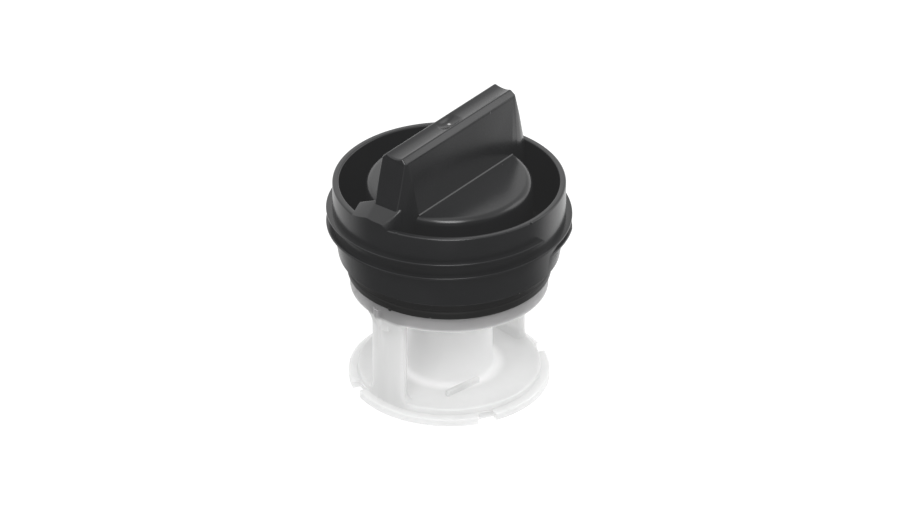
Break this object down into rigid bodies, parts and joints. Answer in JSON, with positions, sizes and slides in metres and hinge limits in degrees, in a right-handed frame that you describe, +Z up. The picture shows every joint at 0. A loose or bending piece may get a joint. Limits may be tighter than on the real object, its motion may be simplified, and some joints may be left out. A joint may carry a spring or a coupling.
{
  "type": "washer pump filter",
  "caption": "Drain pump filter with a black threaded screw cap and grip bar, a rubber seal and a white cage insert with a notched foot disc.",
  "frame": {"origin": "bottom centre of the foot disc", "axes": "+Z up the screw axis towards the grip, grip bar along X"},
  "size_m": [0.063, 0.063, 0.0753],
  "materials": {
    "cap_plastic": "black moulded polypropylene, satin",
    "seal_rubber": "black moulded rubber, soft sheen",
    "insert_plastic": "white moulded polypropylene, slightly translucent"
  },
  "bodies": {
    "insert": {"filter_insert": "insert_plastic"},
    "cap": {"screw_cap": "cap_plastic", "seal_ring": "seal_rubber"}
  },
  "joints": [
    {"name": "cap_turn", "type": "hinge", "parent": "insert", "child": "cap", "pos_m": [0, 0, 0.0345], "axis": [0, 0, 1], "continuous": true}
  ]
}
